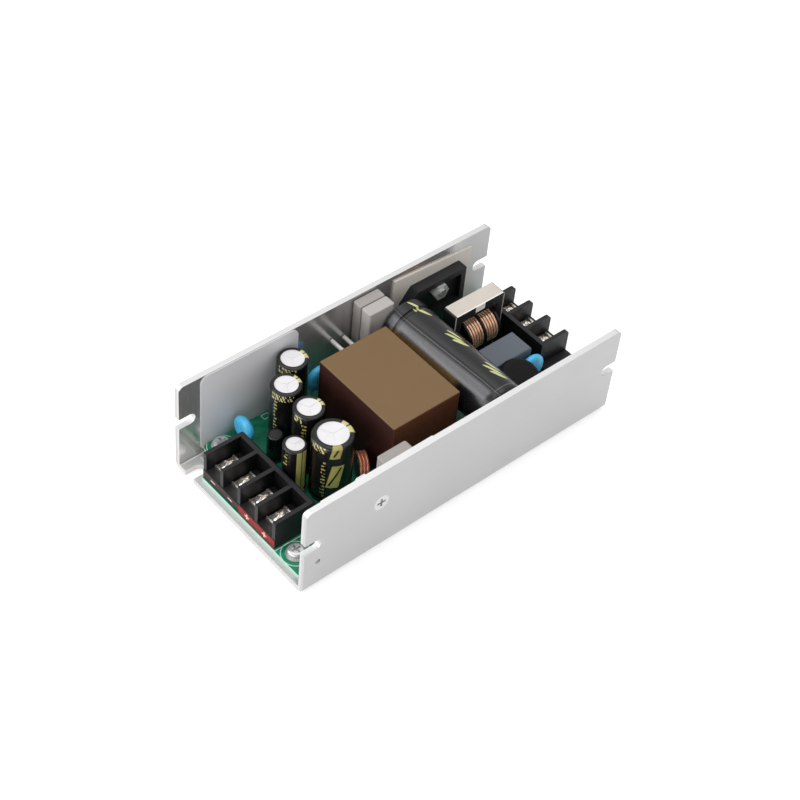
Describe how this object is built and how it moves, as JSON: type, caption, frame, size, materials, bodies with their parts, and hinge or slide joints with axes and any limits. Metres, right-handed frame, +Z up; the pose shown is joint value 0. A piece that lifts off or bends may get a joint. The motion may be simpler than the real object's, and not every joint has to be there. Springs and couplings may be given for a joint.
{
  "type": "power supply",
  "caption": "Open power supply: a circuit board with transformer, capacitors, chokes and screw terminal blocks on a folded aluminium channel with slotted ends.",
  "frame": {"origin": "middle of the underside of the chassis floor", "axes": "+X along the chassis towards the input terminals, +Y towards the wall that carries the rectifier, +Z up"},
  "size_m": [0.127, 0.0636, 0.036],
  "materials": {
    "aluminium_sheet": "satin, fine brushing",
    "zinc_steel": "plated, bright",
    "film": "thin insulating film",
    "board": "green solder mask",
    "terminal_plastic": "moulded black",
    "label_red": "printed strip",
    "label_dark": "printed strip",
    "can_aluminium": "satin",
    "sleeve_black": "shrunk sleeve",
    "sleeve_grey": "shrunk sleeve",
    "bung_rubber": "matt",
    "tinned_wire": "bright",
    "transformer_wrap": "brown wrap",
    "white_sleeving": "white sleeving",
    "ferrite": "black ferrite",
    "beige_tape": "beige tape",
    "bobbin_black": "moulded black",
    "copper_wire": "enamelled copper",
    "box_grey": "grey moulded box",
    "disc_black": "dipped coating",
    "disc_blue": "dipped coating",
    "winding_red": "enamelled copper",
    "grey_sheet": "insulating sheet",
    "pad_beige": "thermal pad",
    "rectifier_black": "moulded epoxy",
    "cap_grey": "silicone cap"
  },
  "bodies": {
    "root": {"chassis": "aluminium_sheet", "board_standoffs": "zinc_steel", "board_screws": "zinc_steel", "bottom_insulator": "film", "circuit_board": "board", "output_block_body": "terminal_plastic", "output_block_contacts": "zinc_steel", "output_block_clamps": "zinc_steel", "output_block_screws": "zinc_steel", "negative_label": "label_dark", "positive_label": "label_red", "input_block_body": "terminal_plastic", "input_block_contacts": "zinc_steel", "input_block_clamps": "zinc_steel", "input_block_screws": "zinc_steel", "bulk_capacitor_can": "can_aluminium", "bulk_capacitor_sleeve": "sleeve_grey", "bulk_capacitor_bung": "bung_rubber", "bulk_capacitor_leads": "tinned_wire", "transformer": "transformer_wrap", "transformer_bobbin": "bobbin_black", "transformer_pins": "tinned_wire", "transformer_leads": "white_sleeving", "choke_core": "ferrite", "choke_tape": "beige_tape", "choke_bobbin": "bobbin_black", "choke_winding_left": "copper_wire", "choke_winding_right": "copper_wire", "filter_capacitor": "box_grey", "thermistor": "disc_black", "y_capacitor_1": "disc_blue", "y_capacitor_2": "disc_blue", "y_capacitor_3": "disc_blue", "disc_leads": "tinned_wire", "output_inductor_core": "ferrite", "output_inductor_winding": "winding_red", "far_wall_sheet": "grey_sheet", "near_wall_sheet": "grey_sheet", "bridge_rectifier": "rectifier_black", "bridge_rectifier_pad": "pad_beige", "bridge_rectifier_leads": "tinned_wire", "device_cap_1": "cap_grey", "device_cap_2": "cap_grey", "device_cap_3": "cap_grey", "transistor_leads": "tinned_wire", "device_clamp": "zinc_steel", "wall_screws": "zinc_steel", "wall_nuts": "zinc_steel", "output_capacitor_1_can": "can_aluminium", "output_capacitor_1_sleeve": "sleeve_black", "output_capacitor_2_can": "can_aluminium", "output_capacitor_2_sleeve": "sleeve_black", "output_capacitor_3_can": "can_aluminium", "output_capacitor_3_sleeve": "sleeve_black", "main_output_capacitor_can": "can_aluminium", "main_output_capacitor_sleeve": "sleeve_black", "small_output_capacitor_can": "can_aluminium", "small_output_capacitor_sleeve": "sleeve_black", "mini_capacitor_can": "can_aluminium", "mini_capacitor_sleeve": "sleeve_black"}
  },
  "joints": []
}
